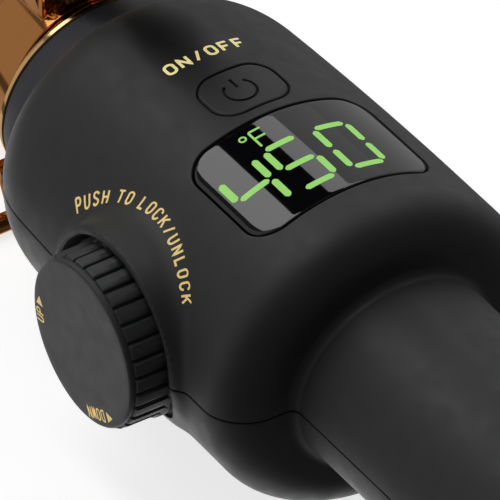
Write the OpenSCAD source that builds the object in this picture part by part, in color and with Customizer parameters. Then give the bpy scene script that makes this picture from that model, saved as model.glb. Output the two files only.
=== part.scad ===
// Digital spring-clip curling iron: control bulb and handle, push-and-turn dial, display,
// heated barrel with clip, heat-stand bail and swivelling cord inlet.
// Frame: +X towards the barrel tip, +Y towards the dial, +Z up. The origin is the centre of the
// flat under the bulb, straight below the dial's axis. Lengths are in millimetres.

/* [Housing] */
// Half height of the control bulb about the tool's axis
bulb_r = 24.5; // [24:0.1:26]
// Width of the housing divided by its height, on the dial's side
oval = 1.1; // [1.08:0.01:1.14]
// The same on the side away from the dial
back_oval = 1.05; // [1.03:0.01:1.1]
// Half height of the handle where it meets the bulb
neck_r = 14.8; // [14:0.1:15]
// Half height of the handle at its cord end
handle_end_r = 14; // [13.4:0.1:14.4]
// Distance from the dial's axis back to the end of the shells
handle_reach = 146; // [146:1:160]
// Distance from the dial's axis forward to the front edge of the bulb
nose_x = 39.4; // [39:0.1:40]
// Wall of the two shells
wall = 2.2; // [2:0.1:2.6]
// Gap that shows between the two shells
parting_gap = 0.3; // [0.2:0.05:0.4]
// Depth of the flat cut on the underside of the bulb
rest_cut = 0.5; // [0.4:0.1:0.8]

/* [Dial] */
// Diameter of the dial over its ribs
dial_d = 26; // [25:0.1:26.4]
// Distance of the dial's face from the tool's axis
dial_face_y = 33.3; // [33:0.1:34]
// Number of grip ribs round the dial
dial_ribs = 30; // [20:1:40]
// Outside radius of the boss that the dial stands in
boss_r = 15.4; // [15.2:0.1:16]
// Travel of the dial when it is pushed to lock
dial_travel = 1.2; // [0.8:0.1:1.3]

/* [Display and button] */
// Length of the display window along the tool
lens_len = 19.8; // [18:0.1:20]
// Width of the display window across the tool
lens_w = 29; // [27:0.1:29]
// Width of the power button across the tool
button_w = 12; // [11:0.1:12.4]
// Length of the power button along the tool
button_len = 9.3; // [9:0.1:9.5]
// Travel of the power button
button_travel = 0.8; // [0.4:0.1:0.8]

/* [Barrel] */
// Outside diameter of the barrel, a one inch iron
barrel_d = 25.4; // [25:0.1:25.6]
// Wall of the barrel tube
barrel_wall = 1.2; // [1:0.1:1.4]
// Distance from the dial's axis to the front edge of the barrel tube
barrel_end = 197; // [190:1:210]
// Length of the cool tip in front of the barrel
tip_len = 22; // [20:1:26]

/* [Clip and stand] */
// Half angle that the clip wraps round the barrel
clip_half_angle = 38; // [30:1:42]
// Gap between the closed clip and the barrel
clip_gap = 0.3; // [0.25:0.05:0.4]
// Sheet thickness of the clip and its lever
clip_sheet = 0.8; // [0.7:0.1:1]
// Wire diameter of the stand bail
bail_d = 3; // [2.8:0.1:3.2]

/* [Cord inlet] */
// Diameter of the bore that the cord is held in
cord_bore_d = 7.2; // [7:0.1:7.4]
// Radial clearance of turning and sliding fits
run_gap = 0.05; // [0.03:0.01:0.08]

/* [Hidden] */

$fn = 64;
tiny = 0.02;
far = 60;

// The axis of the tool above the flat that it rests on.
axis_z = bulb_r - rest_cut;

// Housing outline: a long handle, a filleted neck, a rounded shoulder and a domed nose.
shoulder_x = -27.6;
neck_fillet = 1.5;
shoulder_round = 6.4;
taper_start = -12;
dome_start = 28;
dome_r = 23.5;
nose_r = 18.4;
handle_x = -handle_reach;

// Dial boss and well in the side of the bulb.
boss_top_y = 28.2;
boss_tilt = 22;
well_r = 14.2;
well_floor_y = 23.4;
dial_r = dial_d / 2;
dial_base_y = well_floor_y + dial_travel + 0.4;
shaft_r = 2;
sleeve_r = 3;
sleeve_back_y = 11.2;
encoder_back_y = 8.6;
encoder_front_y = 15;

// Display and button places on the top of the bulb.
lens_x = -6.8;
lens_depth = 1.8;
lens_corner = 4;
trim_gap = 0.3;
button_x = 10.1;
button_corner = 3.5;
board_z = 12.4;
board_t = 1.6;
switch_h = 3.6;
lcd_top_z = 18;
button_floor_z = 18.6;

// Heated barrel.
barrel_r = barrel_d / 2;
barrel_in_r = barrel_r - barrel_wall;
barrel_start = 37;
collar_front = 46.3;
collar_r = 15.85;
ring_front = 49.5;
ring_r = 15.7;
heater_t = 1.5;
heater_back = 54;
heater_front = 176;
lead_y = 5.6;
lead_r = 0.9;
lead_z = -heater_t / 2 - lead_r;

// Clip pivot across the top of the barrel.
band_back = 50;
band_front = 60;
band_r = barrel_r + 1.1;
pivot_x = 55;
pivot_z = 16.5;
pin_r = 1.25;
ear_y = 5.8;
ear_t = 1;
cheek_y = 4.5;
cheek_t = 0.9;
clip_back = 62;
clip_front = 186;
clip_r = barrel_r + clip_gap;
lever_half_w = 5.4;
lever_z = clip_r + clip_sheet + tiny;
lever_end_x = 27;
lever_end_z = 37.5;
rivet_x = [66, 73];
rivet_r = 1.2;

// Stand bail under the barrel.
bail_r = bail_d / 2;
bail_pivot_x = 56;
bail_pivot_z = -16;
bail_foot_x = 52.5;
bail_foot_z = -axis_z + bail_r;
bail_half_w = 17;
bail_leg_y = 11;
bail_ear_y = 7.4;

// Cord swivel in the end of the handle.
cap_end = handle_x - 6;
gland_end = cap_end - 15;
journal_r = 7;
flange_r = 9.6;
socket_front = handle_x + 14;
washer_t = 1.5;

// Screws that close the housing, as places along the tool.
screw_x = [28, -21, -114];
screw_head_z = -9;

// Points of an arc about c, from angle a0 to a1.
function arc(c, r, a0, a1, n = 6) =
    [for (i = [0:n]) let (a = a0 + (a1 - a0) * i / n) [c.x + r * cos(a), c.y + r * sin(a)]];

// Points of a cubic curve.
function curve(p0, p1, p2, p3, n = 8) =
    [for (i = [0:n]) let (t = i / n, s = 1 - t)
        s * s * s * p0 + 3 * s * s * t * p1 + 3 * s * t * t * p2 + t * t * t * p3];

// Outline of the housing as [distance along the tool, radius], drawn in by t.
function housing_outline(t) = concat(
    [[handle_x - t, 0], [handle_x - t, handle_end_r - t]],
    curve([handle_x, handle_end_r - t], [-110, neck_r - t], [-60, neck_r - t - 0.4],
          [shoulder_x - neck_fillet, neck_r - t], 5),
    arc([shoulder_x - neck_fillet, neck_r + neck_fillet], neck_fillet + t, -75, 0, 3),
    arc([shoulder_x + shoulder_round, bulb_r - shoulder_round], shoulder_round - t, 180, 90, 6),
    curve([taper_start, bulb_r - t], [2, bulb_r - t], [16, dome_r + 0.6 - t],
          [dome_start, dome_r - t], 4),
    curve([dome_start, dome_r - t], [33, dome_r - 0.3 - t], [37.2, nose_r + 3.2 - t],
          [nose_x, nose_r - t], 6),
    [[nose_x + t, nose_r - t], [nose_x + t, 0]]
);

// Lifts a child from the tool's own axis to its place above the flat.
module lift() {
    translate([0, 0, axis_z]) children();
}

// Turns an outline of [x, radius] points about the tool's axis.
module revolve_x(points) {
    rotate([0, 90, 0]) rotate_extrude($fn = 96) polygon([for (p = points) [p.y, p.x]]);
}

// The same, drawn out to the housing's oval section. It is turned in sectors, and those of the
// first half turn lie on the dial's side.
module revolve_oval(points, sectors = 8) {
    step = 360 / sectors;
    for (i = [0:sectors - 1])
        scale([1, i < sectors / 2 ? oval : back_oval, 1]) rotate([0, 90, 0])
            rotate([0, 0, i * step]) rotate_extrude(angle = step, $fn = 96)
                polygon([for (p = points) [p.y, p.x]]);
}

// A round bar along X, Y or Z from the point p.
module bar_x(p, r, len) {
    translate(p) rotate([0, 90, 0]) cylinder(r = r, h = len);
}
module bar_y(p, r, len) {
    translate(p) rotate([-90, 0, 0]) cylinder(r = r, h = len);
}
module bar_z(p, r, len) {
    translate(p) cylinder(r = r, h = len);
}

// A tube along X.
module tube_x(x0, x1, r_out, r_in) {
    difference() {
        bar_x([x0, 0, 0], r_out, x1 - x0);
        bar_x([x0 - 1, 0, 0], r_in, x1 - x0 + 2);
    }
}

// A block centred across the tool, from x0 to x1 and from z0 to z1.
module slab(x0, x1, half_w, z0, z1) {
    translate([x0, -half_w, z0]) cube([x1 - x0, 2 * half_w, z1 - z0]);
}

// An upright block with rounded corners, centred at [x, 0].
module rounded_post(x, len, w, corner, z0, z1) {
    slab(x - len / 2 + corner, x + len / 2 - corner, w / 2, z0, z1);
    slab(x - len / 2, x + len / 2, w / 2 - corner, z0, z1);
    for (sx = [-1, 1], sy = [-1, 1])
        bar_z([x + sx * (len / 2 - corner), sy * (w / 2 - corner), z0], corner, z1 - z0);
}

// The oval housing as a solid, drawn in by t.
module housing_solid(t) {
    revolve_oval(housing_outline(t), 2);
}

// Both shells as one hollow body, with the dial's cup in its side. The boss round the cup
// slopes away below the parting line.
module housing_walls() {
    difference() {
        union() {
            difference() {
                housing_solid(0);
                difference() {
                    housing_solid(wall);
                    bar_y([0, well_floor_y - wall, 0], boss_r, far);
                }
            }
            difference() {
                bar_y([0, well_floor_y - wall, 0], boss_r, boss_top_y - well_floor_y + wall);
                translate([0, boss_top_y, 0]) rotate([-boss_tilt, 0, 0])
                    translate([-far, 0, -far]) cube(2 * far);
            }
        }
        bar_y([0, well_floor_y, 0], well_r, far);
        bar_y([0, 0, 0], sleeve_r + 1.5, far);
    }
}

module upper_shell() {
    color("#2b2c2c") lift() {
        difference() {
            intersection() {
                housing_walls();
                slab(-far * 4, far * 2, far, parting_gap / 2, far);
            }
            rounded_post(lens_x, lens_len + 2 * trim_gap, lens_w + 2 * trim_gap,
                         lens_corner + trim_gap, 5, far);
            rounded_post(button_x, button_len + 2 * trim_gap, button_w + 2 * trim_gap,
                         button_corner + trim_gap, 5, far);
        }
        for (x = screw_x)
            intersection() {
                difference() {
                    bar_z([x, 0, parting_gap / 2], 3, bulb_r);
                    bar_z([x, 0, -1], 1.5, 9);
                }
                housing_solid(wall / 2);
            }
    }
}

module lower_shell() {
    color("#2b2c2c") lift() {
        difference() {
            union() {
                intersection() {
                    housing_walls();
                    slab(-far * 4, far * 2, far, -axis_z, -parting_gap / 2);
                }
                for (x = screw_x)
                    intersection() {
                        bar_z([x, 0, -bulb_r], 4.2, bulb_r - parting_gap / 2);
                        housing_solid(wall / 2);
                    }
            }
            for (x = screw_x) {
                bar_z([x, 0, -far], 1.6, far + 1);
                bar_z([x, 0, -far], 3.2, far + screw_head_z);
            }
        }
    }
}

module housing_screws() {
    color("silver") lift() {
        for (x = screw_x) {
            difference() {
                bar_z([x, 0, screw_head_z - 2], 2.8, 2);
                slab(x - 0.4, x + 0.4, 2, screw_head_z - 3, screw_head_z - 1.2);
                slab(x - 2, x + 2, 0.4, screw_head_z - 3, screw_head_z - 1.2);
            }
            bar_z([x, 0, screw_head_z], 1.45, 7.4 - screw_head_z);
        }
    }
}

module handle_cap() {
    color("#2b2c2c") lift() {
        difference() {
            revolve_oval(concat(
                [[handle_x - 0.2, 0], [handle_x - 0.2, handle_end_r]],
                arc([handle_x - 2.5, handle_end_r - 3.5], 3.5, 90, 180, 5),
                [[cap_end, 0]]));
            bar_x([cap_end - 1, 0, 0], journal_r + run_gap * 2, 10);
        }
    }
}

module heat_collar() {
    color("#4a4b54") lift() {
        difference() {
            revolve_oval(concat(
                [[33.5, 0], [33.5, nose_r - 1.6], [36.2, nose_r - 1.6]],
                [[36.2, nose_r - wall - 0.3], [nose_x + 0.25, nose_r - wall - 0.3]],
                [[nose_x + 0.25, nose_r - 0.35]],
                arc([collar_front - 1, collar_r - 1], 1, 70, 0, 3),
                [[collar_front, 0]]));
            bar_x([30, 0, 0], barrel_r + tiny, far);
        }
    }
}

module base_ring() {
    color("#d9a866") lift() {
        difference() {
            revolve_oval(concat(
                [[collar_front + tiny, 0], [collar_front + tiny, ring_r]],
                arc([ring_front, ring_r + 0.4], 2.4, 190, 268, 4),
                [[ring_front, 0]]));
            bar_x([30, 0, 0], barrel_r + tiny, far);
        }
    }
}

module display_lens() {
    color("#101114") lift() {
        intersection() {
            difference() {
                housing_solid(0);
                housing_solid(lens_depth);
            }
            rounded_post(lens_x, lens_len, lens_w, lens_corner, 5, far);
        }
    }
}

// Curved frame behind the window, which laps under the edge of the opening.
module display_bezel() {
    color("#151619") lift() {
        difference() {
            intersection() {
                housing_solid(wall + run_gap);
                rounded_post(lens_x, lens_len + 2, lens_w + 4, lens_corner, 5, far);
            }
            housing_solid(wall + 1.2);
            rounded_post(lens_x, lens_len - 4, lens_w - 5, lens_corner - 2, 4, far);
        }
    }
}

module lcd_module() {
    color("#7f9b6a") lift() {
        slab(lens_x - 8, lens_x + 8, 11.2, board_z + board_t + 1.2, lcd_top_z);
        for (sx = [-1, 1])
            slab(lens_x + sx * 7 - 0.8, lens_x + sx * 7 + 0.8, 10.4, board_z + board_t,
                 board_z + board_t + 1.2);
    }
}

module control_board() {
    color("#1f6b3a") lift() {
        slab(-16, 18, 15.5, board_z, board_z + board_t);
        slab(-12, -5, 3.5, board_z - 1.6, board_z);
        translate([4, -9, board_z - 2.4]) cube([6, 4, 2.4]);
    }
}

module power_switch() {
    color("#222222") lift() {
        difference() {
            slab(button_x - 3, button_x + 3, 3, board_z + board_t, board_z + board_t + switch_h);
            bar_z([button_x, 0, board_z + board_t + 0.4], 1.75 + run_gap, far);
        }
    }
}

module switch_plunger() {
    color("#d8d8d0") lift() {
        bar_z([button_x, 0, board_z + board_t + 0.6 + button_travel], 1.75,
              button_floor_z - board_z - board_t - 0.6 - button_travel);
    }
}

module power_button() {
    color("#2b2c2c") lift() {
        intersection() {
            housing_solid(0);
            union() {
                rounded_post(button_x, button_len, button_w, button_corner, button_floor_z, far);
                rounded_post(button_x, button_len + 1.6, button_w + 1.6, button_corner,
                             button_floor_z, button_floor_z + 1.2);
            }
        }
    }
}

module dial_encoder() {
    color("#8e9396") lift() {
        difference() {
            union() {
                translate([-6.5, encoder_back_y, -6.5])
                    cube([13, encoder_front_y - encoder_back_y, 13]);
                bar_y([0, encoder_front_y, 0], 4.2, well_floor_y - encoder_front_y - 0.2);
            }
            bar_y([0, sleeve_back_y - dial_travel - 0.4, 0], sleeve_r + run_gap, far);
        }
    }
}

module encoder_board() {
    color("#1f6b3a") lift() {
        translate([-10, encoder_back_y - board_t, -9]) cube([20, board_t, 19]);
    }
}

module push_sleeve() {
    color("silver") lift() {
        difference() {
            bar_y([0, sleeve_back_y, 0], sleeve_r, dial_base_y - sleeve_back_y - 0.1);
            bar_y([0, 0, 0], shaft_r + run_gap, far);
        }
    }
}

module encoder_shaft() {
    color("silver") lift() {
        bar_y([0, sleeve_back_y, 0], shaft_r, dial_face_y - 2.4 - sleeve_back_y);
    }
}

// Outline of the dial's rim: a crest and a narrow groove for each rib.
function rib_outline(crest, groove) =
    [for (i = [0:dial_ribs - 1], k = [0:4])
        let (a = (i + k / 5) * 360 / dial_ribs, r = k < 4 ? crest : groove)
        [r * cos(a), r * sin(a)]];

// Ribbed rim of the dial, open at the back, with a hub that grips the shaft.
module dial_body() {
    rim_y = dial_base_y;
    foot = 2.2;
    lip_y = dial_face_y - 1;
    color("#26272a") lift() {
        difference() {
            union() {
                translate([0, lip_y, 0]) rotate([90, 0, 0])
                    linear_extrude(lip_y - rim_y - 1) polygon(rib_outline(dial_r, dial_r - 0.7));
                bar_y([0, rim_y, 0], dial_r + 0.3, foot);
            }
            difference() {
                bar_y([0, rim_y - 1, 0], dial_r - 2.4, dial_face_y - 3 - rim_y + 1);
                bar_y([0, rim_y - 1, 0], 4.6, far);
            }
            bar_y([0, 0, 0], shaft_r, dial_face_y - 2.4);
            bar_y([0, dial_face_y - 2, 0], dial_r - 2.2, far);
        }
    }
}

module dial_cap() {
    color("#2c2d30") lift() {
        rotate([-90, 0, 0]) rotate_extrude($fn = 96) polygon(concat(
            [[0, dial_face_y - 2], [dial_r - 2.2, dial_face_y - 2]],
            [[dial_r - 2.2, dial_face_y - 1], [dial_r - 0.4, dial_face_y - 1]],
            [[dial_r - 0.4, dial_face_y - 0.5], [dial_r - 0.9, dial_face_y]],
            [[0, dial_face_y]]));
    }
}

// Flat ribbons: control board to encoder board, and control board back to the power board.
module board_ribbon() {
    color("#c8c8c8") lift() {
        translate([-4, encoder_back_y - board_t - 0.8, 7]) cube([8, 0.8, board_z - 7]);
        translate([-15, 5.5, 5.7]) cube([0.8, 4.5, board_z - 5.7]);
        translate([-63, 5.5, 5.7]) cube([48.8, 4.5, 0.8]);
        translate([-63, 5.5, -3.4]) cube([0.8, 4.5, 9.9]);
    }
}

module power_board() {
    color("#1f6b3a") lift() {
        slab(-107, -46, 10.5, -5, -3.4);
        slab(-58, -49.2, 7, -3.4, 1);
        slab(-107, -102, 6, -3.4, 1);
    }
}

module film_capacitor() {
    color("#b5382c") lift() {
        translate([-84, -8, -3.4]) cube([16, 8, 10]);
    }
}

module triac() {
    color("#2a2a2a") lift() {
        translate([-100, -5, -3.4]) cube([4.5, 10, 11]);
        translate([-95.5, -6, -3.4]) cube([1.2, 12, 13]);
    }
}

module heater_leads() {
    color("#d8d2c4") lift() {
        for (sy = [-1, 1])
            bar_x([-49.2, sy * lead_y, lead_z], lead_r, heater_back + 4 + 49.2);
    }
}

module barrel_tube() {
    color("#c98f55") lift() {
        tube_x(barrel_start, barrel_end, barrel_r, barrel_in_r);
    }
}

module heater_plate() {
    color("#efe9dc") lift() {
        slab(heater_back, heater_front, 7.5, -heater_t / 2, heater_t / 2);
    }
}

// One half of the aluminium core that carries heat from the plate to the barrel.
module spreader() {
    base_z = heater_t / 2 + tiny;
    lift() difference() {
        intersection() {
            bar_x([heater_back + 6, 0, 0], barrel_in_r - tiny, heater_front - heater_back - 8);
            slab(0, far * 4, far, base_z, far);
        }
        intersection() {
            bar_x([0, 0, 0], barrel_in_r - 2.4, far * 4);
            slab(0, far * 4, far, base_z + 2, far);
        }
        for (sy = [-1, 1])
            bar_x([0, sy * lead_y, -lead_z], lead_r + 0.2, heater_back + 6.5);
    }
}

module upper_spreader() {
    color("#c9cdd0") spreader();
}

module lower_spreader() {
    color("#c9cdd0") translate([0, 0, 2 * axis_z]) mirror([0, 0, 1]) spreader();
}

module temperature_sensor() {
    color("#d9c48a") lift() {
        bar_x([66, 0, 4.4], 0.5, 24);
        bar_x([90, 0, 4.4], 1.4, 8);
    }
}

module thermal_fuse() {
    color("#d5d8da") lift() {
        bar_x([66, 0, -5.2], 2.1, 12);
        bar_x([78, 0, -5.2], 0.5, 14);
    }
}

module base_insulator() {
    color("#cbbf9f") lift() {
        difference() {
            bar_x([42, 0, 0], barrel_in_r - tiny, 3);
            for (sy = [-1, 1])
                bar_x([40, sy * lead_y, lead_z], lead_r + 0.2, 8);
        }
    }
}

module barrel_tip() {
    tip_end = barrel_end + tip_len;
    color("#202123") lift() {
        difference() {
            revolve_x(concat(
                [[barrel_end - 8, 0], [barrel_end - 8, barrel_in_r - tiny]],
                [[barrel_end + tiny, barrel_in_r - tiny], [barrel_end + tiny, barrel_r + 0.3]],
                [[barrel_end + 12, barrel_r + 0.3]],
                arc([tip_end - 8, barrel_r - 7.9], 8, 85, 0, 6),
                [[tip_end, 0]]));
            bar_x([barrel_end - 9, 0, 0], 1.6, far);
            bar_x([tip_end - 4, 0, 0], 3.2, far);
        }
    }
}

module tip_anchor() {
    color("#a9adb0") lift() {
        difference() {
            union() {
                bar_x([barrel_end - 16, 0, 0], barrel_in_r - tiny, 1.2);
                bar_x([barrel_end - 16, 0, 0], 4, 5);
            }
            bar_x([barrel_end - 20, 0, 0], 1.5, far);
            for (sz = [-1, 1])
                slab(barrel_end - 18, barrel_end - 8, 3, sz * 8 - 1.8, sz * 8 + 1.8);
        }
    }
}

module tip_screw() {
    head_x = barrel_end + tip_len - 4;
    color("silver") lift() {
        difference() {
            bar_x([head_x, 0, 0], 2.9, 2);
            slab(head_x + 1, head_x + 3, 2, -0.4, 0.4);
            slab(head_x + 1, head_x + 3, 0.4, -2, 2);
        }
        bar_x([barrel_end - 15.5, 0, 0], 1.45, head_x - barrel_end + 15.5);
    }
}

// One upright ear with a hole for a pin along Y, standing off the band.
module ear(x, y, z_pin, z_root, hole_r, r) {
    difference() {
        union() {
            bar_y([x, y, z_pin], r, ear_t);
            translate([x - r, y, min(z_pin, z_root)]) cube([2 * r, ear_t, abs(z_pin - z_root)]);
        }
        bar_y([x, y - 1, z_pin], hole_r, ear_t + 2);
    }
}

module pivot_band() {
    color("#d9a866") lift() {
        difference() {
            union() {
                bar_x([band_back, 0, 0], band_r, band_front - band_back);
                for (sy = [-1, 1]) {
                    ear(pivot_x, sy * (ear_y + ear_t / 2) - ear_t / 2, pivot_z, 8,
                        pin_r + tiny, 3.2);
                    ear(bail_pivot_x, sy * (bail_ear_y + ear_t / 2) - ear_t / 2, bail_pivot_z, -7,
                        bail_r + run_gap, 2.8);
                }
            }
            bar_x([band_back - 1, 0, 0], barrel_r + tiny, band_front - band_back + 2);
        }
    }
}

module clip_pin() {
    half = ear_y + ear_t;
    color("silver") lift() {
        bar_y([pivot_x, -half - 0.1, pivot_z], pin_r, 2 * half + 0.2);
        for (sy = [-1, 1])
            bar_y([pivot_x, sy * (half + 0.5) - 0.4, pivot_z], pin_r + 0.8, 0.8);
    }
}

// Curved plate that holds the hair against the barrel.
module clip_plate() {
    blade = clip_half_angle;
    color("#d9a866") lift() {
        difference() {
            rotate([0, 90, 0]) translate([0, 0, clip_back]) linear_extrude(clip_front - clip_back)
                polygon(concat(arc([0, 0], clip_r, 180 - blade, 180 + blade, 16),
                               arc([0, 0], clip_r + clip_sheet, 180 + blade, 180 - blade, 16)));
            for (x = rivet_x)
                bar_z([x, 0, 0], rivet_r + tiny, far);
            for (sy = [-1, 1])
                translate([clip_front - 4, sy * 7, 0]) rotate([0, 0, -sy * 35])
                    translate([0, -8, 0]) cube([12, 16, far]);
        }
    }
}

// Lever from the clip over the pin and up to the thumb rest.
module clip_lever() {
    rise = atan2(lever_end_z - lever_z - 5.4, pivot_x - 4 - lever_end_x);
    run = norm([lever_end_z - lever_z - 5.4, pivot_x - 4 - lever_end_x]);
    color("#d9a866") lift() {
        difference() {
            union() {
                slab(clip_back, 79, lever_half_w, lever_z, lever_z + 1);
                translate([clip_back, 0, lever_z]) rotate([0, 40, 0])
                    slab(-8.4, 0, lever_half_w, 0, 1);
                slab(pivot_x - 4.4, pivot_x + 0.8, lever_half_w, lever_z + 5.4, lever_z + 6.4);
                translate([pivot_x - 4, 0, lever_z + 5.4]) rotate([0, rise, 0])
                    slab(-run, 0, lever_half_w, 0, 1);
                for (sy = [-1, 1])
                    translate([0, sy * (cheek_y + cheek_t / 2) - cheek_t / 2, 0]) {
                        bar_y([pivot_x, 0, pivot_z], 2.9, cheek_t);
                        translate([pivot_x - 2.4, 0, pivot_z])
                            cube([4.4, cheek_t, lever_z + 5.6 - pivot_z]);
                    }
            }
            bar_y([pivot_x, -far, pivot_z], pin_r + run_gap, 2 * far);
            for (x = rivet_x)
                bar_z([x, 0, 0], rivet_r + tiny, far);
        }
    }
}

module clip_rivets() {
    color("silver") lift() {
        for (x = rivet_x) {
            bar_z([x, 0, lever_z - clip_sheet], rivet_r, clip_sheet + 1.1);
            bar_z([x, 0, lever_z + 1 + tiny], rivet_r + 1, 0.8);
        }
    }
}

// Torsion spring round the pin: a coil with one leg under the lever and one on the clip.
module clip_spring() {
    wire = 0.5;
    coil_r = 1.85;
    pitch = 2 * wire + 0.06;
    color("#b9bec2") lift() {
        for (i = [-2:2])
            translate([pivot_x, i * pitch, pivot_z]) rotate([90, 0, 0])
                rotate_extrude() translate([coil_r, 0]) circle(r = wire, $fn = 48);
        bar_x([pivot_x - 0.5, 3 * pitch, pivot_z - coil_r], wire, 5.5);
        bar_x([pivot_x - 4, -3 * pitch, pivot_z + coil_r], wire, 4.5);
    }
}

module thumb_rest() {
    rise = atan2(lever_end_z - lever_z - 5.4, pivot_x - 4 - lever_end_x);
    pad_len = 17;
    color("#202123") lift() {
        translate([lever_end_x, 0, lever_end_z]) rotate([0, rise, 0]) difference() {
            union() {
                slab(-1, pad_len - 8, 8, -0.9, 2.4);
                bar_z([pad_len - 8, 0, -0.9], 8, 3.3);
                bar_z([-1, 2, -0.9], 6, 3.3);
                bar_z([-1, -2, -0.9], 6, 3.3);
            }
            slab(-tiny, pad_len + 4, lever_half_w + tiny, -tiny, 1 + tiny);
        }
    }
}

// Wire bail: two pins in the band's ears, two legs and a foot across.
module stand_bail() {
    leg_x = bail_foot_x - bail_pivot_x;
    leg_z = bail_foot_z - bail_pivot_z;
    leg_r = bail_r - 0.1;
    color("#d9a866") lift() {
        for (sy = [-1, 1])
            translate([bail_pivot_x, sy * bail_leg_y, bail_pivot_z]) {
                translate([0, sy * bail_r, 0]) rotate([sy * 90, 0, 0])
                    cylinder(r = bail_r, h = bail_leg_y + bail_r - bail_ear_y + 0.3);
                rotate([0, atan2(leg_x, leg_z), 0])
                    cylinder(r = leg_r, h = norm([leg_x, leg_z]));
            }
        bar_y([bail_foot_x, -bail_half_w, bail_foot_z], bail_r, 2 * bail_half_w);
    }
}

module swivel_socket() {
    color("#e6e3d6") lift() {
        difference() {
            bar_x([handle_x, 0, 0], handle_end_r - wall - 0.3, socket_front - handle_x);
            bar_x([handle_x - 1, 0, 0], journal_r + run_gap, far);
            bar_x([handle_x + 6, 0, 0], flange_r + run_gap, far);
        }
    }
}

module swivel_washer() {
    color("silver") lift() {
        tube_x(socket_front + tiny, socket_front + washer_t, handle_end_r - wall - 0.3,
               journal_r + run_gap * 2);
    }
}

// Two brushes that press on the slip rings, each on its own brass strip.
module brush_contacts() {
    ring_z = journal_r + 1 + run_gap;
    color("#c9a24a") lift() {
        for (side = [-1, 1]) {
            x = socket_front + (side < 0 ? 4 : 9);
            bar_z([x, 0, side < 0 ? -ring_z - 2 : ring_z], 1.2, 2);
            slab(x - 1.2, socket_front + 13, 1.2, side * (ring_z + 2.3) - 0.3,
                 side * (ring_z + 2.3) + 0.3);
        }
    }
}

module swivel_gland() {
    color("#202123") lift() {
        difference() {
            union() {
                bar_x([handle_x + 6.2, 0, 0], flange_r, socket_front - handle_x - 6.4);
                bar_x([gland_end + 3, 0, 0], journal_r, socket_front + 12 - gland_end - 3);
                revolve_x(concat([[gland_end + 4, 0]], [[gland_end, 0]],
                                 arc([gland_end + 1.5, journal_r - 1], 1.5, 180, 90, 4),
                                 arc([gland_end + 5, journal_r + 0.5], 0.01, 90, 0, 2)));
            }
            bar_x([gland_end - 1, 0, 0], cord_bore_d / 2, far * 2);
        }
    }
}

module slip_rings() {
    color("#c9a24a") lift() {
        for (x = [socket_front + 4, socket_front + 9])
            tube_x(x - 1.5, x + 1.5, journal_r + 1, journal_r);
    }
}

upper_shell();
lower_shell();
housing_screws();
handle_cap();
heat_collar();
base_ring();
display_lens();
display_bezel();
lcd_module();
control_board();
power_switch();
switch_plunger();
power_button();
dial_encoder();
encoder_board();
push_sleeve();
encoder_shaft();
dial_body();
dial_cap();
board_ribbon();
power_board();
film_capacitor();
triac();
heater_leads();
barrel_tube();
heater_plate();
upper_spreader();
lower_spreader();
temperature_sensor();
thermal_fuse();
base_insulator();
barrel_tip();
tip_anchor();
tip_screw();
pivot_band();
clip_pin();
clip_plate();
clip_lever();
clip_rivets();
clip_spring();
thumb_rest();
stand_bail();
swivel_socket();
swivel_washer();
brush_contacts();
swivel_gland();
slip_rings();
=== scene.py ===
import math

import bmesh
import bpy
import numpy as np
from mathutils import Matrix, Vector
from mathutils.bvhtree import BVHTree


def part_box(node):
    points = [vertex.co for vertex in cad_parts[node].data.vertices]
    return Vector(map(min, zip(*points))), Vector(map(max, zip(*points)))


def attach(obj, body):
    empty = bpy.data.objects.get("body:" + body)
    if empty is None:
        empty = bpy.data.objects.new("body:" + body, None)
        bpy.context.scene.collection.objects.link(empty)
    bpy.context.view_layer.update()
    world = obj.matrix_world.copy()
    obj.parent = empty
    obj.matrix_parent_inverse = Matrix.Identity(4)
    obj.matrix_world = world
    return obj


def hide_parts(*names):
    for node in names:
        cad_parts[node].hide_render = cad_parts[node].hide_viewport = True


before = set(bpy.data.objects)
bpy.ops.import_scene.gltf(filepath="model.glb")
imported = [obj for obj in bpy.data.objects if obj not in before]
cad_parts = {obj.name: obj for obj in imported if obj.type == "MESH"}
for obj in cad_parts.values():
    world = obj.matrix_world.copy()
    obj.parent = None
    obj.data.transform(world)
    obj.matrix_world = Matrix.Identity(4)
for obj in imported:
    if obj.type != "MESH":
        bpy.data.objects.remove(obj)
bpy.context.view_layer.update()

# Lengths below are in millimetres in the tool's own frame: X along the barrel from the dial's
# axis, Y towards the dial, Z up, with the tool's axis at Y = Z = 0. place() turns them into
# metres in the row frame.
MM = 0.001


def node_box(name):
    """Lowest and highest corner of a CAD node, in millimetres in the tool's own frame."""
    lo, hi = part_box(name)
    rise = Vector((0, 0, AXIS_Z))
    return lo / MM - rise, hi / MM - rise


AXIS_Z = sum(c.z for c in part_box("barrel_tube")) / 2 / MM
shell_lo, shell_hi = node_box("upper_shell")
dial_hi = node_box("dial_cap")[1]
tube_lo, tube_hi = node_box("barrel_tube")
collar_lo, collar_hi = node_box("heat_collar")
ring_lo, ring_hi = node_box("base_ring")
lens_lo, lens_hi = node_box("display_lens")
cap_lo, cap_hi = node_box("handle_cap")

# Housing outline, shared by the shells, the window and the button.
HANDLE_X, NOSE_X = shell_lo.x, shell_hi.x
BULB_R = shell_hi.z
NECK_R, HANDLE_END_R, NOSE_R = 14.8, 14.0, 18.4
OVAL, BACK_OVAL = cap_hi.y / HANDLE_END_R, -cap_lo.y / HANDLE_END_R
SHOULDER_X, NECK_FILLET, SHOULDER_ROUND = -27.6, 1.5, 6.4
TAPER_START, DOME_START, DOME_R = -12.0, 28.0, 23.5
WALL, LIP, LIP_HEIGHT = 2.2, 0.85, 1.2
SEAM = 0.15
SEAM_CHAMFER, MOUTH_CHAMFER = 0.12, 0.2
REST_Z = -AXIS_Z

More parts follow.
